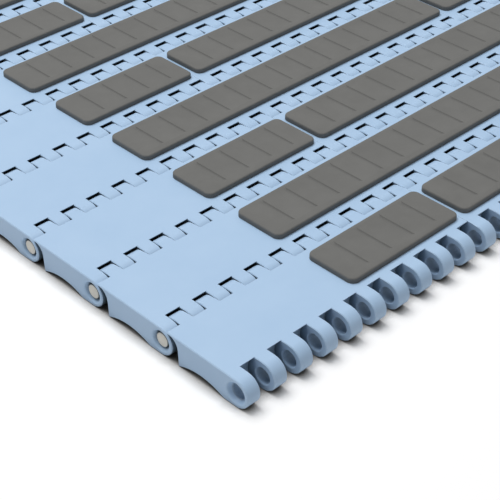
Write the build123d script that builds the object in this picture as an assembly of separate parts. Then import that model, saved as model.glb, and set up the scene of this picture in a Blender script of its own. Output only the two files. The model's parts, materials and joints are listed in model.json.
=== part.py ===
from build123d import *

import os

# Modular plastic belt: a flat section of hinged rows with rubber pads.
# X runs across the belt, Y along its travel, Z up.
# The origin is on the supporting surface, under the middle of the section.

# Layout of the section
pitch = 25.4
cell_width = 8.486
belt_cells = 24
short_cells = 10
long_cells = 20
row_count = 8

# Plate and hinge eyes
thickness = 8.0
side_clearance = 0.15
seam_gap = 0.2

# Rods and their bores
rod_diameter = 3.9
rod_clearance = 0.3
rod_chamfer = 0.3
rod_setback = 0.65
recess_diameter = 5.3
recess_depth = 1.2
end_wall = 1.2

# Pocket in front of each row, which the eyes of the row before it fill
front_pocket_clearance = 0.85

# Pocket behind each row, which the eyes of the row after it fill
rear_lip_reach = 2.4
rear_lip_edge = 0.25
rear_wall_reach = 6.1
rear_wall_height = 4.6

# Arched underside, from the front hinge to the rear foot
arch_start = 4.0
arch_rise = 1.7
foot_land = 0.3

# Pockets in the underside, where the sprocket teeth push
drive_pocket_width = 4.4
drive_pocket_length = 6.0
drive_pocket_start = 7.4
plate_wall = 2.6

# Rubber pads
pad_height = 1.5
pad_length = 15.4
pad_start = 4.9
pad_corner = 1.5
pad_edge = 0.4
pad_indent = 44.4
pad_left_inset = 2.2
pad_right_inset = 0.6

# Sizes that follow from those above
eye_radius = thickness / 2
eye_width = cell_width / 2 - side_clearance
slot_width = cell_width - eye_width
bore_diameter = rod_diameter + 2 * rod_clearance
belt_width = belt_cells * cell_width
belt_left = -belt_width / 2
first_axis = -row_count * pitch / 2
overcut = 1.0


def side_outline():
    """Side view of a row with both of its hinge eyes, front axis at Y 0."""
    foot = pitch - rear_wall_reach - foot_land
    with BuildSketch(Plane.YZ) as outline:
        with BuildLine():
            Line((0, thickness), (pitch, thickness))
            ThreePointArc((pitch, thickness), (pitch + eye_radius, eye_radius), (pitch, 0))
            Line((pitch, 0), (foot, 0))
            ThreePointArc((foot, 0), ((foot + arch_start) / 2, arch_rise), (arch_start, 0))
            Line((arch_start, 0), (0, 0))
            ThreePointArc((0, 0), (-eye_radius, eye_radius), (0, thickness))
        make_face()
    return outline.sketch.face()


def front_pocket_outline():
    """Side view of what a front pocket takes away: a round wall about the front axis."""
    with BuildSketch(Plane.YZ) as outline:
        with Locations((0, eye_radius)):
            Circle(eye_radius + front_pocket_clearance)
            Rectangle(
                eye_radius + overcut,
                thickness + 2 * overcut,
                align=(Align.MAX, Align.CENTER),
            )
    return outline.sketch.face()


def rear_pocket_outline():
    """Side view of what a rear pocket takes away: an upright foot that curves into a lip."""
    wall = pitch - rear_wall_reach
    lip = pitch - rear_lip_reach
    lip_underside = thickness - rear_lip_edge
    curve = lip_underside - rear_wall_height
    back = pitch + eye_radius + overcut
    with BuildSketch(Plane.YZ) as outline:
        with BuildLine():
            Line((wall, -overcut), (wall, rear_wall_height))
            TangentArc((wall, rear_wall_height), (wall + curve, lip_underside), tangent=(0, 1))
            Polyline(
                (wall + curve, lip_underside),
                (lip, lip_underside),
                (lip, thickness + overcut),
                (back, thickness + overcut),
                (back, -overcut),
                (wall, -overcut),
            )
        make_face()
    return outline.sketch.face()


def across(face, middle, width):
    """A face of the side view, extruded to a width about a place across the module."""
    return Pos(middle - width / 2, 0, 0) * extrude(face, width)


def bore(axis_y, start, end, diameter):
    """A round bar along a hinge axis, from one place across the module to another."""
    middle = Pos((start + end) / 2, axis_y, eye_radius)
    return middle * Rot(0, 90, 0) * Cylinder(diameter / 2, end - start)


def make_module(cells, left_edge, right_edge):
    """One moulded module, front axis at Y 0 and first cell at X 0.

    At a left edge the front eye has the recess for the rod's end. At a right edge
    the last rear eye is closed, so that the rod can't slide out.
    """
    length = cells * cell_width
    start = seam_gap / 2
    end = length - seam_gap / 2
    body = Pos(start, 0, 0) * extrude(side_outline(), end - start)

    cuts = []
    for cell in range(cells):
        front_eye = (cell + 0.25) * cell_width
        rear_eye = (cell + 0.75) * cell_width
        cuts.append(across(front_pocket_outline(), rear_eye, slot_width))
        cuts.append(across(rear_pocket_outline(), front_eye, slot_width))
        if cell < cells - 1:
            cuts.append(
                Pos(rear_eye, drive_pocket_start, -overcut)
                * Box(
                    drive_pocket_width,
                    drive_pocket_length,
                    thickness - plate_wall + overcut,
                    align=(Align.CENTER, Align.MIN, Align.MIN),
                )
            )

    rear_end = end - end_wall if right_edge else end + overcut
    cuts.append(bore(0, start - overcut, end + overcut, bore_diameter))
    cuts.append(bore(pitch, start - overcut, rear_end, bore_diameter))
    if left_edge:
        cuts.append(bore(0, start - overcut, start + recess_depth, recess_diameter))
    return (body - cuts).solid()


def make_pad(start, end):
    """One rubber pad on the plate, from one place across the belt to another."""
    with BuildPart() as pad:
        with BuildSketch(Plane.XY.offset(thickness)):
            with Locations(((start + end) / 2, pad_start + pad_length / 2)):
                RectangleRounded(end - start, pad_length, pad_corner)
        extrude(amount=pad_height)
        chamfer(pad.faces().sort_by(Axis.Z)[-1].edges(), pad_edge)
    return pad.part.solid()


def make_rod():
    """One hinge rod on the hinge axis, from the left recess to the closed right eye."""
    start = seam_gap / 2 + rod_setback
    end = belt_width - seam_gap / 2 - end_wall - rod_clearance
    rod = bore(0, start, end, rod_diameter)
    return chamfer(rod.edges().filter_by(GeomType.CIRCLE), rod_chamfer).solid()


def save(shape, name, joint):
    """Place a piece on its row, whose front axis is at the given joint, and write it."""
    placed = Pos(belt_left, first_axis + joint * pitch, 0) * shape
    export_step(placed, f"parts/{name}.step")


def make_row(seam_cells):
    """The modules and pads of a row whose two modules meet after a number of cells."""
    seam = seam_cells * cell_width
    return {
        "left_module": make_module(seam_cells, True, False),
        "right_module": Pos(seam, 0, 0) * make_module(belt_cells - seam_cells, False, True),
        "left_pad": make_pad(pad_indent, seam - pad_right_inset),
        "right_pad": make_pad(seam + pad_left_inset, belt_width - pad_right_inset),
    }


def main():
    os.makedirs("parts", exist_ok=True)

    # The rows are laid like bricks: a short left module and a long one take turns.
    rows = [make_row(short_cells), make_row(long_cells)]
    rod = make_rod()

    for row in range(row_count):
        for name, shape in rows[row % 2].items():
            save(shape, f"row_{row}_{name}", row)
        if row > 0:
            save(rod, f"rod_{row}", row)


main()
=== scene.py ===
"""Dresses a section of modular plastic belt.

The section is eight hinged rows. Each row has two moulded modules, laid like bricks, with a grey
rubber pad on each module and an off-white rod through each hinge. All sizes are in millimetres
and become metres where a mesh is made.
"""

import json
import logging
import math
from dataclasses import dataclass, field
from enum import Enum
from typing import Callable

import bmesh
import bpy
from mathutils import Matrix, Vector

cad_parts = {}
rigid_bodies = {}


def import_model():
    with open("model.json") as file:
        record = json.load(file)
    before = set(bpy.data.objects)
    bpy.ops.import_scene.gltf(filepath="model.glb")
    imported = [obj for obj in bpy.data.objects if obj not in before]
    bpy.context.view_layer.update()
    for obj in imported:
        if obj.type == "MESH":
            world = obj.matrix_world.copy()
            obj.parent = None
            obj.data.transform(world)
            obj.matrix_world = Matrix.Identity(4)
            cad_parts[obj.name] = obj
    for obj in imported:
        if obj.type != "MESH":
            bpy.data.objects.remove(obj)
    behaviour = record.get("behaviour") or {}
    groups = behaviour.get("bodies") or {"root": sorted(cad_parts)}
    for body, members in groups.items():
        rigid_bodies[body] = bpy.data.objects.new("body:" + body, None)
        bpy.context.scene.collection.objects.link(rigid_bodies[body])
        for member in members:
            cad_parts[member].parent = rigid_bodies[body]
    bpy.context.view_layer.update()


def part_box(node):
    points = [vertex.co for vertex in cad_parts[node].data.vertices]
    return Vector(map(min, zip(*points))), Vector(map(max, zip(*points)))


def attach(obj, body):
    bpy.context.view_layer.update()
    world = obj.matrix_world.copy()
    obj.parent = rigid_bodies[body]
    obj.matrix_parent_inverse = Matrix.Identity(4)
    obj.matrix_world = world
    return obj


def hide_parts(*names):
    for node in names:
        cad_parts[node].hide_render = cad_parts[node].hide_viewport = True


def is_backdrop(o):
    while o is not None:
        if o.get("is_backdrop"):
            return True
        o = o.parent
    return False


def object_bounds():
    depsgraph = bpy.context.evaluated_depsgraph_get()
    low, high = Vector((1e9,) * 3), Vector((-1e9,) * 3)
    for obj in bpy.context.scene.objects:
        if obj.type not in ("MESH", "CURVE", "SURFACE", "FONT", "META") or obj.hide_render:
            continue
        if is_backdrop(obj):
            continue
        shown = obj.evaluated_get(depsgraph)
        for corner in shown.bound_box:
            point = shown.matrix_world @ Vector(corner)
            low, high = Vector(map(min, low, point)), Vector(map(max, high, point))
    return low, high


LOG = logging.getLogger("belt")
MM = 0.001

# How near a place a point counts as in it, and how near each other two points become one, in mm.
SLACK = 0.02
WELD_REACH = 0.002
CLEAN_REACH = 0.004

# How far a face's normal rises, at least, where the face counts as looking up.
UPWARD = 0.9

WHITE = (1.0, 1.0, 1.0, 1.0)

Piece = bpy.types.Object
Socket = bpy.types.NodeSocket
Colour = tuple[float, float, float, float]
EdgeTest = Callable[[Vector, Vector], bool]
FaceTest = Callable[[Vector, Vector], bool]


class Edge(Enum):
    """What a module's left or right side is, and the gap in mm that it leaves there."""

    OUTER = 0.1
    SEAM = 0.02

    @property
    def gap(self) -> float:
        """How far the side lies inside its cell, in mm."""
        return self.value


class Side(Enum):
    """A half of the belt's width, as the names of its pieces give it."""

    LEFT = "left"
    RIGHT = "right"


def runs_across(first: Vector, second: Vector) -> bool:
    """Whether an edge between two points runs across the belt."""
    return abs(first.x - second.x) > SLACK


class Bench:
    """The workbench: small modelling steps that every piece is made with."""

    @staticmethod
    def clear() -> None:
        """Deselect everything, so that the next operator acts on one piece only."""
        bpy.ops.object.select_all(action="DESELECT")
        bpy.context.view_layer.objects.active = None

    @staticmethod
    def pick(piece: Piece) -> None:
        """Make one piece the only selected and active one.

        Args:
            piece: The piece.
        """
        Bench.clear()
        piece.select_set(True)
        bpy.context.view_layer.objects.active = piece

    @staticmethod
    def settle(name: str) -> Piece:
        """Name the new primitive and move its place into its mesh.

        Args:
            name: The name of the new piece.

        Returns:
            The piece, with its object at the origin, unturned and unscaled.
        """
        piece = bpy.context.active_object
        piece.name = name
        piece.data.name = name
        bpy.ops.object.transform_apply(location=True, rotation=True, scale=True)
        return piece

    @staticmethod
    def block(name: str, low: Vector, high: Vector) -> Piece:
        """Add a block between two corners.

        Args:
            name: The name of the new piece.
            low: The lowest corner, in millimetres.
            high: The highest corner, in millimetres.

        Returns:
            The block.
        """
        Bench.clear()
        bpy.ops.mesh.primitive_cube_add(
            size=1.0,
            location=(low + high) / 2 * MM,
            scale=(high - low) * MM,
        )
        return Bench.settle(name)

    @staticmethod
    def bar(
        name: str, start: float, end: float, centre: tuple[float, float], radius: float, sides: int
    ) -> Piece:
        """Add a round bar that lies across the belt.

        Args:
            name: The name of the new piece.
            start: Where the bar starts, across the belt.
            end: Where the bar ends, across the belt.
            centre: The place of its axis along the belt and above the floor.
            radius: The bar's radius.
            sides: How many flat sides the bar has.

        Returns:
            The bar.
        """
        Bench.clear()
        bpy.ops.mesh.primitive_cylinder_add(
            vertices=sides,
            radius=radius * MM,
            depth=(end - start) * MM,
            location=Vector(((start + end) / 2, centre[0], centre[1])) * MM,
            rotation=(0.0, math.pi / 2, 0.0),
        )
        return Bench.settle(name)

    @staticmethod
    def funnel(
        name: str,
        start: float,
        end: float,
        centre: tuple[float, float],
        mouth: float,
        throat: float,
        sides: int,
    ) -> Piece:
        """Add a bar that lies across the belt and gets thinner from its start to its end.

        Args:
            name: The name of the new piece.
            start: Where the bar starts, across the belt.
            end: Where the bar ends, across the belt.
            centre: The place of its axis along the belt and above the floor.
            mouth: Its radius at the start.
            throat: Its radius at the end.
            sides: How many flat sides it has.

        Returns:
            The bar.
        """
        Bench.clear()
        bpy.ops.mesh.primitive_cone_add(
            vertices=sides,
            radius1=mouth * MM,
            radius2=throat * MM,
            depth=(end - start) * MM,
            location=Vector(((start + end) / 2, centre[0], centre[1])) * MM,
            rotation=(0.0, math.pi / 2, 0.0),
        )
        return Bench.settle(name)

    @staticmethod
    def mark_edges(piece: Piece, test: EdgeTest) -> None:
        """Open a piece in edit mode with the edges selected that pass a test.

        Args:
            piece: The piece to open.
            test: Takes the two ends of an edge, in millimetres.
        """
        Bench.pick(piece)
        bpy.ops.object.mode_set(mode="EDIT")
        bpy.ops.mesh.select_mode(type="EDGE")
        bpy.ops.mesh.select_all(action="DESELECT")
        bpy.ops.object.mode_set(mode="OBJECT")
        points = piece.data.vertices
        for edge in piece.data.edges:
            first, second = (points[index].co / MM for index in edge.vertices)
            edge.select = test(first, second)
        bpy.ops.object.mode_set(mode="EDIT")

    @staticmethod
    def round_edges(piece: Piece, test: EdgeTest, radius: float, segments: int) -> None:
        """Round the edges of a piece that pass a test.

        Args:
            piece: The piece to shape.
            test: Takes the two ends of an edge, in millimetres.
            radius: The radius of the rounding.
            segments: How many flats the rounding has.
        """
        Bench.mark_edges(piece, test)
        bpy.ops.mesh.bevel(offset=radius * MM, segments=segments, clamp_overlap=False)
        bpy.ops.mesh.select_all(action="SELECT")
        bpy.ops.mesh.remove_doubles(threshold=WELD_REACH * MM)
        bpy.ops.object.mode_set(mode="OBJECT")

    @staticmethod
    def raise_faces(piece: Piece, test: FaceTest, lift: Vector) -> None:
        """Extrude the faces of a piece that pass a test.

        Args:
            piece: The piece to shape.
            test: Takes a face's middle, in millimetres, and its normal.
            lift: How far the faces move, in millimetres.
        """
        Bench.pick(piece)
        bpy.ops.object.mode_set(mode="EDIT")
        bpy.ops.mesh.select_mode(type="FACE")
        bpy.ops.mesh.select_all(action="DESELECT")
        bpy.ops.object.mode_set(mode="OBJECT")
        for face in piece.data.polygons:
            face.select = test(face.center / MM, face.normal)
        bpy.ops.object.mode_set(mode="EDIT")
        bpy.ops.mesh.extrude_region_move(TRANSFORM_OT_translate={"value": lift * MM})
        bpy.ops.object.mode_set(mode="OBJECT")

    @staticmethod
    def split(piece: Piece, place: Vector, normal: Vector) -> None:
        """Score a piece along a flat plane, without taking anything away.

        Args:
            piece: The piece to score.
            place: A point of the plane.
            normal: The plane's normal.
        """
        Bench.pick(piece)
        bpy.ops.object.mode_set(mode="EDIT")
        bpy.ops.mesh.select_all(action="SELECT")
        bpy.ops.mesh.bisect(plane_co=place * MM, plane_no=normal)
        bpy.ops.object.mode_set(mode="OBJECT")

    @staticmethod
    def repeat(piece: Piece, name: str, shift: Vector) -> Piece:
        """Copy a piece, with a mesh of its own.

        Args:
            piece: The piece to copy.
            name: The copy's name.
            shift: How far the copy stands from the piece, in millimetres.

        Returns:
            The copy.
        """
        copy = bpy.data.objects.new(name, piece.data.copy())
        copy.data.name = name
        copy.data.transform(Matrix.Translation(shift * MM))
        bpy.context.scene.collection.objects.link(copy)
        return copy

    @staticmethod
    def gather(pieces: list[Piece]) -> Piece:
        """Join separate pieces into one.

        Args:
            pieces: The pieces to join.

        Returns:
            The first piece, which now holds them all.
        """
        Bench.pick(pieces[0])
        for piece in pieces[1:]:
            piece.select_set(True)
        bpy.ops.object.join()
        return pieces[0]

    @staticmethod
    def cut(piece: Piece, cutter: Piece) -> None:
        """Take a cutter's shape out of a piece, and remove the cutter.

        Args:
            piece: The piece to shape.
            cutter: What is taken away.
        """
        Bench.pick(piece)
        step = piece.modifiers.new("cut", "BOOLEAN")
        step.operation = "DIFFERENCE"
        step.solver = "EXACT"
        step.object = cutter
        bpy.ops.object.modifier_apply(modifier=step.name)
        bpy.data.objects.remove(cutter)

    @staticmethod
    def clean(piece: Piece) -> None:
        """Merge the doubled points of a piece, and drop what has no size.

        Args:
            piece: The piece to clean.
        """
        Bench.pick(piece)
        bpy.ops.object.mode_set(mode="EDIT")
        bpy.ops.mesh.select_all(action="SELECT")
        bpy.ops.mesh.remove_doubles(threshold=CLEAN_REACH * MM)
        bpy.ops.mesh.dissolve_degenerate(threshold=CLEAN_REACH * MM)
        bpy.ops.object.mode_set(mode="OBJECT")

    @staticmethod
    def shade(piece: Piece, angle: float) -> None:
        """Shade a piece smoothly, but for the edges that turn by more than an angle.

        Args:
            piece: The piece to shade.
            angle: The angle, in degrees.
        """
        Bench.pick(piece)
        bpy.ops.object.shade_smooth_by_angle(angle=math.radians(angle))

    @staticmethod
    def soften(
        piece: Piece,
        width: float,
        sharp_angle: float,
        smooth_angle: float,
        keep_sharp: EdgeTest,
    ) -> None:
        """Round the outward edges of a piece, as a mould leaves them, and shade it smoothly.

        Args:
            piece: The piece to finish.
            width: The width of the rounding, in millimetres.
            sharp_angle: The angle, in degrees, past which an edge counts as sharp.
            smooth_angle: The angle, in degrees, up to which the rounded piece is shaded smoothly.
            keep_sharp: Tells which of the sharp edges are left as they are.
        """
        Bench.shade(piece, sharp_angle)
        shape = bmesh.new()
        shape.from_mesh(piece.data)
        weights = [
            float(
                edge.is_convex
                and edge.calc_face_angle(0.0) > math.radians(sharp_angle)
                and not keep_sharp(*(point.co / MM for point in edge.verts))
            )
            for edge in shape.edges
        ]
        shape.free()
        layer = piece.data.attributes.new("bevel_weight_edge", "FLOAT", "EDGE")
        layer.data.foreach_set("value", weights)
        step = piece.modifiers.new("edges", "BEVEL")
        step.width = width * MM
        step.limit_method = "WEIGHT"
        step.use_clamp_overlap = False
        bpy.ops.object.modifier_apply(modifier=step.name)
        Bench.shade(piece, smooth_angle)
        step = piece.modifiers.new("shading", "WEIGHTED_NORMAL")
        step.keep_sharp = True
        bpy.ops.object.modifier_apply(modifier=step.name)


@dataclass(frozen=True)
class EdgeHighlight:
    """A painted highlight along a finish's edges: the paler colour, its reach in mm and its share.
    """

    tone: Colour
    reach: float
    share: float


@dataclass(frozen=True)
class PaintedShade:
    """Painted shade: how a finish gets darker in recesses, most at the openness closed, no more at
    opened.
    """

    tone: Colour
    reach: float
    share: float
    closed: float
    opened: float


@dataclass(frozen=True)
class Graph:
    """The node tree of one material, with short names for the nodes that finishes use."""

    material: bpy.types.Material
    grain_roughness: float = 0.55
    recess_samples: int = 8
    edge_samples: int = 4
    edge_turned: float = 0.9
    edge_flat: float = 0.995

    @staticmethod
    def start(name: str) -> "Graph":
        """Begin a material whose nodes are still to be laid.

        Args:
            name: The material's name.

        Returns:
            The material's graph, with a shader and an output.
        """
        material = bpy.data.materials.new(name)
        material.use_nodes = True
        return Graph(material)

    @property
    def shader(self) -> bpy.types.ShaderNode:
        """The material's main shader."""
        return self.material.node_tree.nodes["Principled BSDF"]

    def node(self, kind: str, **values: object) -> bpy.types.ShaderNode:
        """Add a node and set values on its sockets.

        Args:
            kind: The node's type.
            values: Socket names, with underscores for spaces, and their values.

        Returns:
            The node.
        """
        node = self.material.node_tree.nodes.new(kind)
        for key, value in values.items():
            node.inputs[key.replace("_", " ")].default_value = value
        return node

    def link(self, source: Socket, target: Socket) -> None:
        """Join two sockets."""
        self.material.node_tree.links.new(source, target)

    def place(self, stretch: tuple[float, float, float] = (1.0, 1.0, 1.0)) -> Socket:
        """Places on the piece itself, so that a pattern stays on it as the belt bends.

        Args:
            stretch: The scale of the pattern along each axis.

        Returns:
            The socket that gives the place.
        """
        source = self.node("ShaderNodeTexCoord")
        mapping = self.node("ShaderNodeMapping", Scale=stretch)
        self.link(source.outputs["Object"], mapping.inputs["Vector"])
        return mapping.outputs["Vector"]

    def grain(self, place: Socket, size: float, detail: float) -> Socket:
        """A soft random pattern from 0 to 1.

        Args:
            place: Where the pattern is read.
            size: The size of its largest spots, in millimetres.
            detail: How many finer layers it has.

        Returns:
            The socket that gives the pattern.
        """
        noise = self.node(
            "ShaderNodeTexNoise",
            Scale=1.0 / (size * MM),
            Detail=detail,
            Roughness=self.grain_roughness,
        )
        self.link(place, noise.inputs["Vector"])
        return noise.outputs["Fac"]

    def between(
        self, source: Socket, low: float, high: float, start: float = 0.3, end: float = 0.7
    ) -> Socket:
        """Spread a pattern over a range of values.

        Args:
            source: The pattern.
            low: The value at the pattern's start.
            high: The value at the pattern's end.
            start: The pattern's lowest value that counts.
            end: The pattern's highest value that counts.

        Returns:
            The socket that gives the value.
        """
        spread = self.node(
            "ShaderNodeMapRange", From_Min=start, From_Max=end, To_Min=low, To_Max=high
        )
        self.link(source, spread.inputs["Value"])
        return spread.outputs["Result"]

    def tint(self, share: Socket, first: Socket | Colour, second: Colour) -> Socket:
        """Mix two colours.

        Args:
            share: How much of the second colour shows.
            first: The first colour, or the socket that gives it.
            second: The second colour.

        Returns:
            The socket that gives the mixed colour.
        """
        mix = self.node("ShaderNodeMix")
        mix.data_type = "RGBA"
        colours = [socket for socket in mix.inputs if socket.type == "RGBA"]
        if isinstance(first, Socket):
            self.link(first, colours[0])
        else:
            colours[0].default_value = first
        colours[1].default_value = second
        self.link(share, mix.inputs[0])
        return next(socket for socket in mix.outputs if socket.type == "RGBA")

    def relief(self, height: Socket, depth: float, strength: float) -> Socket:
        """Turn a pattern into a shallow relief.

        Args:
            height: The pattern.
            depth: The relief's depth, in millimetres.
            strength: How strongly it shows.

        Returns:
            The socket that gives the normals.
        """
        bump = self.node("ShaderNodeBump", Strength=strength, Distance=depth * MM)
        self.link(height, bump.inputs["Height"])
        return bump.outputs["Normal"]

    def recesses(self, reach: float) -> Socket:
        """How open the surface is: 1 in the open and less in a narrow slot or bore.

        Args:
            reach: How far around the surface other walls count, in millimetres.

        Returns:
            The socket of the openness.
        """
        shade = self.node("ShaderNodeAmbientOcclusion", Distance=reach * MM)
        shade.samples = self.recess_samples
        return shade.outputs["AO"]

    def turned_edges(self, reach: float) -> Socket:
        """Where the surface turns a corner, as a value from 0 to 1: the mask of the painted edge
        highlight.

        Args:
            reach: How far from the corner it shows, in millimetres.

        Returns:
            The socket that gives the value.
        """
        rounded = self.node("ShaderNodeBevel", Radius=reach * MM)
        rounded.samples = self.edge_samples
        true = self.node("ShaderNodeNewGeometry")
        turn = self.node("ShaderNodeVectorMath")
        turn.operation = "DOT_PRODUCT"
        self.link(rounded.outputs["Normal"], turn.inputs[0])
        self.link(true.outputs["Normal"], turn.inputs[1])
        return self.between(turn.outputs["Value"], 1.0, 0.0, self.edge_turned, self.edge_flat)

    def paint_edge_highlight(self, body: Socket, rim: EdgeHighlight) -> Socket:
        """Paint a highlight on a colour: make it paler along the edges.

        Args:
            body: The colour.
            rim: How it gets paler.

        Returns:
            The socket that gives the new colour.
        """
        share = self.between(self.turned_edges(rim.reach), 0.0, rim.share, 0.0, 1.0)
        return self.tint(share, body, rim.tone)

    def paint_shade(self, body: Socket, recess: PaintedShade) -> Socket:
        """Paint shade on a colour: make it darker in narrow places.

        Args:
            body: The colour.
            recess: How it gets darker.

        Returns:
            The socket that gives the new colour.
        """
        openness = self.recesses(recess.reach)
        share = self.between(openness, recess.share, 0.0, recess.closed, recess.opened)
        return self.tint(share, body, recess.tone)


def colour(red: int, green: int, blue: int) -> Colour:
    """A colour as the shader takes it.

    Args:
        red: The red value as seen on a screen, from 0 to 255.
        green: The green value.
        blue: The blue value.

    Returns:
        The colour with linear values, and full cover.
    """

    def linear(value: int) -> float:
        """One value without the screen's curve."""
        share = value / 255
        return share / 12.92 if share <= 0.04045 else ((share + 0.055) / 1.055) ** 2.4

    return (linear(red), linear(green), linear(blue), 1.0)


@dataclass(frozen=True)
class MouldedPlastic:
    """The modules' plastic: matte, with the mould's fine spark texture, a painted highlight along
    the edges and painted shade in slots and bores.
    """

    base: Colour = colour(174, 202, 231)
    cloud: Colour = colour(169, 198, 228)
    cloud_size: float = 14.0
    cloud_detail: float = 3.0
    # Painted highlight: a paler colour along the edges.
    rim: EdgeHighlight = EdgeHighlight(colour(190, 213, 236), reach=0.25, share=0.55)
    # Painted shade: a dark tone in slots and bores, by how closed in the surface is.
    recess: PaintedShade = PaintedShade(
        colour(38, 44, 40), reach=5.0, share=0.92, closed=0.2, opened=0.62
    )
    roughness: tuple[float, float] = (0.41, 0.52)
    spark_size: float = 0.35
    spark_detail: float = 2.0
    spark_depth: float = 0.012
    spark_strength: float = 0.35
    refraction: float = 1.46

    def make(self) -> bpy.types.Material:
        """Build the material.

        Returns:
            The plastic.
        """
        graph = Graph.start("belt_plastic")
        place = graph.place()
        cloud = graph.grain(place, self.cloud_size, self.cloud_detail)
        spark = graph.grain(place, self.spark_size, self.spark_detail)
        body = graph.tint(graph.between(cloud, 0.0, 1.0), self.base, self.cloud)
        # Painted highlight along the edges, then painted shade in slots and bores.
        body = graph.paint_shade(graph.paint_edge_highlight(body, self.rim), self.recess)
        normal = graph.relief(spark, self.spark_depth, self.spark_strength)
        graph.link(body, graph.shader.inputs["Base Color"])
        graph.link(graph.between(spark, *self.roughness), graph.shader.inputs["Roughness"])
        graph.link(normal, graph.shader.inputs["Normal"])
        graph.shader.inputs["IOR"].default_value = self.refraction
        return graph.material


@dataclass(frozen=True)
class PadRubber:
    """The pads' rubber: dull grey, with a fine grain, a slight bloom, a painted highlight along
    the edges and painted shade in the grooves and corners.
    """

    base: Colour = colour(105, 105, 103)
    bloom: Colour = colour(113, 113, 111)
    bloom_size: float = 6.0
    bloom_detail: float = 5.0
    # Painted highlight: a paler colour along the edges.
    rim: EdgeHighlight = EdgeHighlight(colour(118, 118, 116), reach=0.3, share=0.35)
    # Painted shade: a darker tone in the grooves and at the foot of the sides.
    recess: PaintedShade = PaintedShade(
        colour(84, 85, 84), reach=1.2, share=0.9, closed=0.3, opened=1.0
    )
    roughness: tuple[float, float] = (0.76, 0.88)
    grain_size: float = 0.22
    grain_detail: float = 3.0
    grain_depth: float = 0.02
    grain_strength: float = 0.5
    refraction: float = 1.5
    gloss: float = 0.3

    def make(self) -> bpy.types.Material:
        """Build the material.

        Returns:
            The rubber.
        """
        graph = Graph.start("pad_rubber")
        place = graph.place()
        bloom = graph.grain(place, self.bloom_size, self.bloom_detail)
        grain = graph.grain(place, self.grain_size, self.grain_detail)
        body = graph.tint(graph.between(bloom, 0.0, 1.0), self.base, self.bloom)
        # Painted highlight along the edges, then painted shade in the grooves and corners.
        body = graph.paint_shade(graph.paint_edge_highlight(body, self.rim), self.recess)
        normal = graph.relief(grain, self.grain_depth, self.grain_strength)
        graph.link(body, graph.shader.inputs["Base Color"])
        graph.link(graph.between(bloom, *self.roughness), graph.shader.inputs["Roughness"])
        graph.link(normal, graph.shader.inputs["Normal"])
        graph.shader.inputs["IOR"].default_value = self.refraction
        graph.shader.inputs["Specular IOR Level"].default_value = self.gloss
        return graph.material


@dataclass(frozen=True)
class DrawnRod:
    """The rods' plastic: off-white and a little stained, with faint lines of drawing along it, and
    painted shade where it sits deep in a bore.
    """

    base: Colour = colour(234, 231, 222)
    stain: Colour = colour(220, 217, 207)
    stain_size: float = 2.5
    stain_detail: float = 4.0
    # Painted shade: a darker tone where the rod sits in a bore or recess.
    recess: PaintedShade = PaintedShade(
        colour(96, 98, 96), reach=1.5, share=1.0, closed=0.3, opened=0.85
    )
    roughness: tuple[float, float] = (0.42, 0.58)
    line_size: float = 0.3
    line_stretch: float = 0.02
    line_detail: float = 3.0
    line_depth: float = 0.02
    line_strength: float = 0.4

    def make(self) -> bpy.types.Material:
        """Build the material.

        Returns:
            The rod plastic.
        """
        graph = Graph.start("rod_plastic")
        along = graph.place((self.line_stretch, 1.0, 1.0))
        lines = graph.grain(along, self.line_size, self.line_detail)
        stain = graph.grain(graph.place(), self.stain_size, self.stain_detail)
        body = graph.tint(graph.between(stain, 0.0, 1.0), self.base, self.stain)
        normal = graph.relief(lines, self.line_depth, self.line_strength)
        # The base colour gets painted shade in the bores.
        graph.link(graph.paint_shade(body, self.recess), graph.shader.inputs["Base Color"])
        graph.link(graph.between(lines, *self.roughness), graph.shader.inputs["Roughness"])
        graph.link(normal, graph.shader.inputs["Normal"])
        return graph.material


@dataclass
class Layout:
    """Where the rows and cells of the section are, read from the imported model.

    A cell is as wide as the eye spacing, and front_eye and rear_eye say where across it the
    middles of its two eyes are, as shares of its width.
    """

    row_count: int = 8
    belt_cells: int = 24
    seams: tuple[int, int] = (10, 20)
    seam_gap: float = 0.2
    front_eye: float = 0.25
    rear_eye: float = 0.75
    left: float = field(init=False)
    cell: float = field(init=False)
    pitch: float = field(init=False)
    first_axis: float = field(init=False)
    thickness: float = field(init=False)

    def __post_init__(self) -> None:
        """Read the places from the frame."""
        low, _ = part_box("row_0_left_module")
        _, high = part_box("row_0_right_module")
        ends = ("rod_1", f"rod_{self.row_count - 1}")
        axes = [sum(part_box(rod), Vector()).y / 2 / MM for rod in ends]
        self.left = low.x / MM - self.seam_gap / 2
        self.cell = (high.x / MM + self.seam_gap / 2 - self.left) / self.belt_cells
        self.pitch = (axes[1] - axes[0]) / (self.row_count - 2)
        self.first_axis = axes[0] - self.pitch
        self.thickness = high.z / MM

    def across(self, cells: float) -> float:
        """The place across the belt, so many cells from its left edge."""
        return self.left + cells * self.cell

    def axis(self, row: int) -> float:
        """The place along the belt of the hinge in front of a row."""
        return self.first_axis + row * self.pitch


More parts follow.
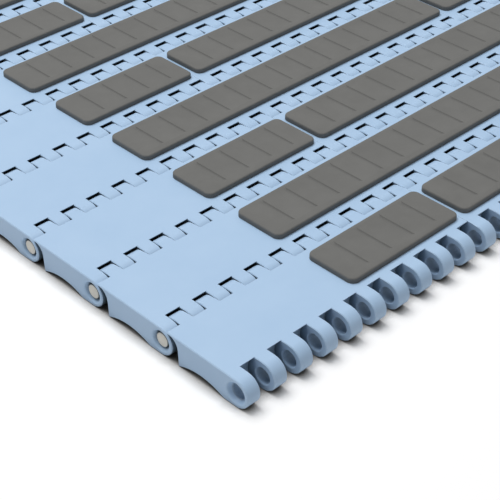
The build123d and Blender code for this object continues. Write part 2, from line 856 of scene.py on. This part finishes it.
@dataclass
class ModuleMaker:
    """Makes the moulded modules: a plate with hinge eyes in front and behind, arched below."""

    layout: Layout
    plastic: bpy.types.Material
    side_clearance: float = 0.15
    bore_radius: float = 2.25
    mouth_radius: float = 2.95
    throat_radius: float = 2.3
    recess_depth: float = 1.2
    end_wall: float = 1.2
    front_clearance: float = 0.74
    lip_reach: float = 2.4
    lip_edge: float = 0.25
    wall_reach: float = 6.1
    wall_height: float = 4.6
    arch_start: float = 4.0
    arch_rise: float = 1.7
    foot_land: float = 0.3
    tooth_width: float = 4.4
    tooth_length: float = 6.0
    tooth_start: float = 7.4
    plate_wall: float = 2.6
    edge_round: float = 0.22
    sharp_angle: float = 32.0
    smooth_angle: float = 50.0
    eye_segments: int = 6
    bore_sides: int = 16
    recess_sides: int = 32
    wall_sides: int = 24
    arch_sides: int = 56
    foot_segments: int = 4
    overcut: float = 1.0

    @property
    def eye_radius(self) -> float:
        """The radius of a hinge eye, which is half the plate's thickness."""
        return self.layout.thickness / 2

    @property
    def slot_width(self) -> float:
        """The width of the gap that takes an eye of the next row."""
        return self.layout.cell / 2 + self.side_clearance

    def make(
        self, name: str, row: int, first_cell: int, cells: int, left: Edge, right: Edge
    ) -> Piece:
        """Model a module in its place in the belt.

        Args:
            name: The module's name.
            row: The row that it is in.
            first_cell: How many cells lie between it and the belt's left edge.
            cells: How many cells it has.
            left: What its left side is.
            right: What its right side is.

        Returns:
            The module.
        """
        axis = self.layout.axis(row)
        low = Vector((self.layout.across(first_cell) + left.gap, axis - self.eye_radius, 0.0))
        high = Vector((
            self.layout.across(first_cell + cells) - right.gap,
            axis + self.layout.pitch + self.eye_radius,
            self.layout.thickness,
        ))
        module = self.blank(name, low, high)
        Bench.cut(module, self.arch(low, high, axis))
        pockets = []
        for cell in range(first_cell, first_cell + cells):
            front = self.layout.across(cell + self.layout.front_eye)
            rear = self.layout.across(cell + self.layout.rear_eye)
            pockets.append(self.front_slot(rear, axis))
            pockets.append(self.rear_pocket(front, axis))
            if cell < first_cell + cells - 1:
                pockets.append(self.tooth_pocket(rear, axis))
        Bench.cut(module, Bench.gather(pockets))
        if left is Edge.OUTER:
            Bench.cut(module, self.recess(low.x, axis))
        Bench.cut(module, self.bores(low.x, high.x, axis, right))
        Bench.clean(module)
        rear_axis = axis + self.layout.pitch
        seams = [place for place, edge in ((low.x, left), (high.x, right)) if edge is Edge.SEAM]
        Bench.soften(
            module,
            self.edge_round,
            self.sharp_angle,
            self.smooth_angle,
            lambda a, b: self.is_seam(a, b, seams) or self.is_lip(a, b, rear_axis),
        )
        module.data.materials.append(self.plastic)
        return module

    def blank(self, name: str, low: Vector, high: Vector) -> Piece:
        """Shape the uncut bar of the module: a flat plate with round front and rear ends.

        Args:
            name: The module's name.
            low: Its lowest corner.
            high: Its highest corner.

        Returns:
            The bar.
        """
        bar = Bench.block(name, low, high)
        Bench.round_edges(bar, runs_across, self.eye_radius, self.eye_segments)
        return bar

    def arch(self, low: Vector, high: Vector, axis: float) -> Piece:
        """Shape the wide bar that hollows the underside between the eyes and the foot.

        Args:
            low: The module's lowest corner.
            high: Its highest corner.
            axis: The place of its front hinge axis along the belt.

        Returns:
            The cutter.
        """
        foot = self.layout.pitch - self.wall_reach - self.foot_land
        half = (foot - self.arch_start) / 2
        radius = (half**2 + self.arch_rise**2) / (2 * self.arch_rise)
        centre = (axis + self.arch_start + half, self.arch_rise - radius)
        return Bench.bar(
            "arch", low.x - self.overcut, high.x + self.overcut, centre, radius, self.arch_sides
        )

    def front_slot(self, middle: float, axis: float) -> Piece:
        """Shape the cutter between two front eyes: open in front, and round behind the hinge.

        Args:
            middle: The place of its middle across the belt.
            axis: The place of the front hinge axis along the belt.

        Returns:
            The cutter.
        """
        start, end = middle - self.slot_width / 2, middle + self.slot_width / 2
        radius = self.eye_radius + self.front_clearance
        cutter = Bench.bar(
            "front_slot", start, end, (axis, self.eye_radius), radius, self.wall_sides
        )
        for point in cutter.data.vertices:
            if point.co.y / MM < axis - SLACK:
                point.co.y -= radius * MM
        return cutter

    def rear_pocket(self, middle: float, axis: float) -> Piece:
        """Shape the cutter behind the plate: an upright wall that curves out under a thin lip.

        Args:
            middle: The place of its middle across the belt.
            axis: The place of the front hinge axis along the belt.

        Returns:
            The cutter.
        """
        rear_axis = axis + self.layout.pitch
        wall, lip = rear_axis - self.wall_reach, rear_axis - self.lip_reach
        underside = self.layout.thickness - self.lip_edge
        start, end = middle - self.slot_width / 2, middle + self.slot_width / 2
        cutter = Bench.block(
            "rear_pocket",
            Vector((start, wall, -self.overcut)),
            Vector((end, rear_axis + self.eye_radius + self.overcut, underside)),
        )
        Bench.split(cutter, Vector((middle, lip, 0.0)), Vector((0.0, 1.0, 0.0)))
        Bench.raise_faces(
            cutter,
            lambda place, normal: normal.z > UPWARD and place.y > lip,
            Vector((0.0, 0.0, self.lip_edge + self.overcut)),
        )
        Bench.round_edges(
            cutter,
            lambda a, b: runs_across(a, b) and max(a.y, b.y) < wall + SLACK and a.z > 0,
            underside - self.wall_height,
            self.foot_segments,
        )
        return cutter

    def tooth_pocket(self, middle: float, axis: float) -> Piece:
        """Shape the cutter of the pocket in the underside that a sprocket tooth pushes in.

        Args:
            middle: The place of its middle across the belt.
            axis: The place of the front hinge axis along the belt.

        Returns:
            The cutter.
        """
        start, top = axis + self.tooth_start, self.layout.thickness - self.plate_wall
        left, right = middle - self.tooth_width / 2, middle + self.tooth_width / 2
        return Bench.block(
            "tooth_pocket",
            Vector((left, start, -self.overcut)),
            Vector((right, start + self.tooth_length, top)),
        )

    def recess(self, left: float, axis: float) -> Piece:
        """Shape the cutter of the countersunk mouth of the front bore at the belt's edge.

        Args:
            left: The place of the module's left side.
            axis: The place of the front hinge axis along the belt.

        Returns:
            The cutter.
        """
        slope = (self.mouth_radius - self.throat_radius) / self.recess_depth
        return Bench.funnel(
            "recess",
            left - self.overcut,
            left + self.recess_depth,
            (axis, self.eye_radius),
            self.mouth_radius + slope * self.overcut,
            self.throat_radius,
            self.recess_sides,
        )

    def bores(self, left: float, right: float, axis: float, edge: Edge) -> Piece:
        """Shape the cutter of the front and rear bores.

        Args:
            left: The place of the module's left side.
            right: The place of its right side.
            axis: The place of its front hinge axis along the belt.
            edge: What its right side is: at the belt's edge the rear bore is closed.

        Returns:
            The cutter.
        """
        start, end = left - self.overcut, right + self.overcut
        rear_end = right - self.end_wall if edge is Edge.OUTER else end
        rear_axis = axis + self.layout.pitch
        places = (("front_bore", end, axis), ("rear_bore", rear_end, rear_axis))
        return Bench.gather([
            Bench.bar(name, start, stop, (y, self.eye_radius), self.bore_radius, self.bore_sides)
            for name, stop, y in places
        ])

    def is_seam(self, first: Vector, second: Vector, seams: list[float]) -> bool:
        """Whether an edge of the top lies along a seam, where a rounding would make it look wide.

        Args:
            first: One end of the edge.
            second: The other end.
            seams: The places of the module's seams across the belt.

        Returns:
            True if the edge stays sharp.
        """
        return min(first.z, second.z) > self.layout.thickness - SLACK and any(
            abs(first.x - seam) < SLACK and abs(second.x - seam) < SLACK for seam in seams
        )

    def is_lip(self, first: Vector, second: Vector, rear: float) -> bool:
        """Whether an edge belongs to the thin lip over a rear pocket, which is too thin to round.

        Args:
            first: One end of the edge.
            second: The other end.
            rear: The place of the rear hinge axis along the belt.

        Returns:
            True if the edge stays sharp.
        """
        nose = rear - self.lip_reach
        underside = self.layout.thickness - self.lip_edge
        lowest, highest = sorted((first.z, second.z))
        front, back = sorted((first.y, second.y))
        if front > nose - SLACK and back < nose + SLACK:
            return lowest > underside - SLACK
        in_pocket = rear - self.wall_reach - SLACK < front and back < nose + SLACK
        return in_pocket and lowest > self.wall_height - SLACK and highest < underside + SLACK


@dataclass
class PadMaker:
    """Makes the rubber pads: a low block with round corners, a round rim and shallow grooves."""

    layout: Layout
    rubber: bpy.types.Material
    corner: float = 2.0
    corner_segments: int = 8
    rim: float = 0.5
    rim_segments: int = 5
    groove_width: float = 1.5
    groove_depth: float = 0.29
    groove_slope: float = 0.6
    groove_steep: float = 0.3
    groove_offset: float = 0.33
    groove_rear: float = 1.3
    groove_front: float = 2.2
    groove_ramp: float = 0.9
    bulge_left: float = 0.5
    bulge_right: float = 0.1
    bulge_rear: float = 0.35
    smooth_angle: float = 28.0

    def make(self, name: str, node: str, cells: range) -> Piece:
        """Model a pad over the place of its solid.

        Args:
            name: The pad's name.
            node: The solid that gives its place.
            cells: The cells that have a groove.

        Returns:
            The pad.
        """
        low, high = (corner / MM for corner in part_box(node))
        low.x -= self.bulge_left
        high += Vector((self.bulge_right, self.bulge_rear, 0.0))
        pad = Bench.block(name, low, high)
        Bench.round_edges(
            pad, lambda a, b: abs(a.z - b.z) > SLACK, self.corner, self.corner_segments
        )
        Bench.round_edges(
            pad, lambda a, b: min(a.z, b.z) > high.z - SLACK, self.rim, self.rim_segments
        )
        Bench.cut(pad, Bench.gather([self.groove(cell, low, high) for cell in cells]))
        Bench.shade(pad, self.smooth_angle)
        pad.data.materials.append(self.rubber)
        return pad

    def groove(self, cell: int, low: Vector, high: Vector) -> Piece:
        """Shape the cutter of one groove: its right wall is steep, and the others slope.

        Args:
            cell: The cell that the groove is in.
            low: The pad's lowest corner.
            high: The pad's highest corner.

        Returns:
            The cutter.
        """
        middle = self.layout.across(cell + self.groove_offset + self.layout.rear_eye)
        left, right = middle - self.groove_width / 2, middle + self.groove_width / 2
        front, rear = low.y + self.groove_front, high.y - self.groove_rear
        slope, steep = self.groove_slope, self.groove_steep
        ramp, depth = self.groove_ramp, self.groove_depth
        cutter = Bench.block(
            "groove",
            Vector((left - slope, front - ramp, high.z - depth)),
            Vector((right + steep, rear + ramp, high.z + depth)),
        )
        # The cutter reaches as far above the pad as into it, so its foot moves in twice over.
        for point in cutter.data.vertices:
            if point.co.z < high.z * MM:
                across = slope if point.co.x < middle * MM else -steep
                along = ramp if point.co.y < (front + rear) / 2 * MM else -ramp
                point.co += 2 * Vector((across, along, 0.0)) * MM
        return cutter


@dataclass
class RodMaker:
    """Makes the hinge rods: round bars with a narrow chamfer at each sawn end."""

    plastic: bpy.types.Material
    sides: int = 28
    chamfer: float = 0.3
    chamfer_segments: int = 2
    reach: float = 0.2
    smooth_angle: float = 40.0

    def make(self, name: str, node: str) -> Piece:
        """Model a rod over the place of its solid.

        Args:
            name: The rod's name.
            node: The solid that gives its place.

        Returns:
            The rod.
        """
        low, high = (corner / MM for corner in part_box(node))
        centre = ((low.y + high.y) / 2, (low.z + high.z) / 2)
        rod = Bench.bar(name, low.x - self.reach, high.x, centre, (high.z - low.z) / 2, self.sides)
        Bench.round_edges(
            rod, lambda a, b: not runs_across(a, b), self.chamfer, self.chamfer_segments
        )
        Bench.shade(rod, self.smooth_angle)
        rod.data.materials.append(self.plastic)
        return rod


@dataclass
class Belt:
    """The belt, laid row by row like bricks, from two patterns of row that take turns."""

    layout: Layout
    modules: ModuleMaker
    pads: PadMaker
    rods: RodMaker
    first_groove: int = 5

    def lay(self) -> None:
        """Lay every row, with a rod in the hinge between each row and the one before it."""
        for row in range(self.layout.row_count):
            for side in Side:
                self.lay_module(row, side)
                self.lay_pad(row, side)
            if row > 0:
                self.put_rod(row)

    def lay_module(self, row: int, side: Side) -> None:
        """Put a module in its place, modelled in the first two rows and copied in the others.

        Args:
            row: The module's row.
            side: The half of the belt that it makes.
        """
        names = f"moulded_row_{{}}_{side.value}_module"
        pattern = row % len(self.layout.seams)
        seam = self.layout.seams[pattern]
        if row > pattern:
            module = self.copy_of(names, pattern, row)
        elif side is Side.LEFT:
            module = self.modules.make(names.format(row), row, 0, seam, Edge.OUTER, Edge.SEAM)
        else:
            cells = self.layout.belt_cells - seam
            module = self.modules.make(names.format(row), row, seam, cells, Edge.SEAM, Edge.OUTER)
        self.seat(module, f"row_{row}_{side.value}_module", f"row_{row}", "belt_plastic")

    def lay_pad(self, row: int, side: Side) -> None:
        """Put a pad on its module, modelled in the first two rows and copied in the others.

        Args:
            row: The pad's row.
            side: The half of the belt that its module makes.
        """
        names = f"rubber_row_{{}}_{side.value}_pad"
        node = f"row_{row}_{side.value}_pad"
        pattern = row % len(self.layout.seams)
        seam = self.layout.seams[pattern]
        if row > pattern:
            pad = self.copy_of(names, pattern, row)
        elif side is Side.LEFT:
            pad = self.pads.make(names.format(row), node, range(self.first_groove, seam - 1))
        else:
            pad = self.pads.make(names.format(row), node, range(seam, self.layout.belt_cells - 1))
        self.seat(pad, node, f"row_{row}", "pad_rubber")

    def put_rod(self, row: int) -> None:
        """Put the rod into the hinge in front of a row, modelled once and then copied.

        Args:
            row: The row that the rod rides with.
        """
        names = "drawn_rod_{}"
        node = f"rod_{row}"
        rod = self.copy_of(names, 1, row) if row > 1 else self.rods.make(names.format(row), node)
        self.seat(rod, node, f"row_{row}", "rod_plastic")

    def copy_of(self, names: str, model: int, row: int) -> Piece:
        """Copy a piece of an earlier row to the same place in a later one.

        Args:
            names: The name of such pieces, with a gap for the row's number.
            model: The row of the piece that is copied.
            row: The row of the copy.

        Returns:
            The copy.
        """
        shift = Vector((0.0, (row - model) * self.layout.pitch, 0.0))
        return Bench.repeat(bpy.data.objects[names.format(model)], names.format(row), shift)

    @staticmethod
    def seat(piece: Piece, node: str, body: str, slot: str) -> None:
        """Hide the solid that a piece stands for, attach the piece to the body that it moves with,
        and log its faces.

        Args:
            piece: The finished piece.
            node: The solid that it stands for.
            body: The body that it moves with.
            slot: The material slot that its finish belongs to; not used.
        """
        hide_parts(node)
        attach(piece, body)
        LOG.info("%s: %d faces", piece.name, len(piece.data.polygons))


@dataclass
class Studio:
    """The pale floor, the soft light and the camera at the photograph's angle."""

    azimuth: float = -44.09
    elevation: float = 36.51
    distance: float = 352.9
    aim: tuple[float, float, float] = (36.1, 36.6, 8.0)
    lens: float = 101.96
    sensor: float = 36.0
    clip: tuple[float, float] = (0.01, 20.0)
    floor_size: float = 6.0
    floor_white: Colour = (0.82, 0.82, 0.82, 1.0)
    floor_glow: float = 0.24
    # The colour of the painted contact shadow on the floor near the belt, and its reach in mm.
    contact_shade: Colour = (0.12, 0.11, 0.1, 1.0)
    contact_reach: float = 8.0
    world_light: float = 0.26
    key_power: float = 25.2
    key_size: float = 1.1
    key_place: tuple[float, float, float] = (-0.12, 0.5, 1.65)

    def set_up(self) -> None:
        """Lay the floor, set the light and place the camera."""
        self.lay_floor()
        self.light_world()
        self.hang_key()
        self.place_camera()
        bpy.context.scene.view_settings.view_transform = "Standard"

    @staticmethod
    def seen_directly(tree: bpy.types.NodeTree) -> Socket:
        """Whether a ray comes straight from the camera, a reflection or a clear piece.

        Args:
            tree: The node tree to add the nodes to.

        Returns:
            The socket that is 1 for such a ray.
        """
        path = tree.nodes.new("ShaderNodeLightPath")
        seen = path.outputs["Is Camera Ray"]
        for name in ("Is Glossy Ray", "Is Transmission Ray"):
            either = tree.nodes.new("ShaderNodeMath")
            either.operation = "MAXIMUM"
            tree.links.new(seen, either.inputs[0])
            tree.links.new(path.outputs[name], either.inputs[1])
            seen = either.outputs[0]
        return seen

    def lay_floor(self) -> None:
        """Lay a white floor that takes the belt's shadow, with a painted contact shadow that
        darkens its colour and its glow near the belt.
        """
        Bench.clear()
        bpy.ops.mesh.primitive_plane_add(size=self.floor_size)
        floor = Bench.settle("floor")
        graph = Graph.start("floor_with_painted_shadow")
        tree = graph.material.node_tree
        # Painted contact shadow: the floor's colour goes dark where the belt closes it in.
        openness = graph.between(graph.recesses(self.contact_reach), 0.0, 1.0)
        paper = graph.tint(openness, self.contact_shade, self.floor_white)
        graph.link(paper, graph.shader.inputs["Base Color"])
        graph.shader.inputs["Roughness"].default_value = 1.0
        graph.shader.inputs["Specular IOR Level"].default_value = 0.0
        graph.shader.inputs["Emission Color"].default_value = WHITE
        # The glow that keeps the floor white also fades near the belt, as painted shadow.
        glow = graph.node("ShaderNodeMath")
        glow.operation = "MULTIPLY"
        graph.link(self.seen_directly(tree), glow.inputs[0])
        graph.link(graph.between(openness, 0.0, self.floor_glow, 0.0, 1.0), glow.inputs[1])
        graph.link(glow.outputs[0], graph.shader.inputs["Emission Strength"])
        floor.data.materials.append(graph.material)
        floor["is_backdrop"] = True

    def light_world(self) -> None:
        """Light everything evenly, with a background that is seen as white."""
        world = bpy.data.worlds.new("studio")
        bpy.context.scene.world = world
        world.use_nodes = True
        tree = world.node_tree
        background = tree.nodes["Background"]
        background.inputs["Color"].default_value = WHITE
        strength = tree.nodes.new("ShaderNodeMapRange")
        strength.inputs["To Min"].default_value = self.world_light
        strength.inputs["To Max"].default_value = 1.0
        tree.links.new(self.seen_directly(tree), strength.inputs["Value"])
        tree.links.new(strength.outputs["Result"], background.inputs["Strength"])

    def hang_key(self) -> None:
        """Hang one wide soft light above the belt."""
        Bench.clear()
        bpy.ops.object.light_add(type="AREA", location=self.key_place)
        key = bpy.context.active_object
        key.name = "key_light"
        key.data.size = self.key_size
        key.data.energy = self.key_power
        key.rotation_euler = (-Vector(self.key_place)).to_track_quat("-Z", "Y").to_euler()

    def place_camera(self) -> None:
        """Place the camera at the photograph's angle, aimed from the belt's left front corner."""
        low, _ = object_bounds()
        target = Vector((low[0], low[1], 0.0)) + Vector(self.aim) * MM
        turn, rise = math.radians(self.azimuth), math.radians(self.elevation)
        back = Vector(
            (math.sin(turn) * math.cos(rise), -math.cos(turn) * math.cos(rise), math.sin(rise))
        )
        Bench.clear()
        bpy.ops.object.camera_add(location=target + back * self.distance * MM)
        camera = bpy.context.active_object
        camera.rotation_euler = (-back).to_track_quat("-Z", "Y").to_euler()
        camera.data.lens = self.lens
        camera.data.sensor_width = self.sensor
        camera.data.clip_start, camera.data.clip_end = self.clip
        bpy.context.scene.camera = camera


def main() -> None:
    """Build every piece in order, and report each one."""
    logging.basicConfig(level=logging.INFO, format="%(message)s")
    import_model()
    layout = Layout()
    LOG.info("pitch %.2f mm, cell %.3f mm", layout.pitch, layout.cell)

    belt = Belt(
        layout,
        ModuleMaker(layout, MouldedPlastic().make()),
        PadMaker(layout, PadRubber().make()),
        RodMaker(DrawnRod().make()),
    )
    belt.lay()

    Studio().set_up()


if __name__ == "__main__":
    main()
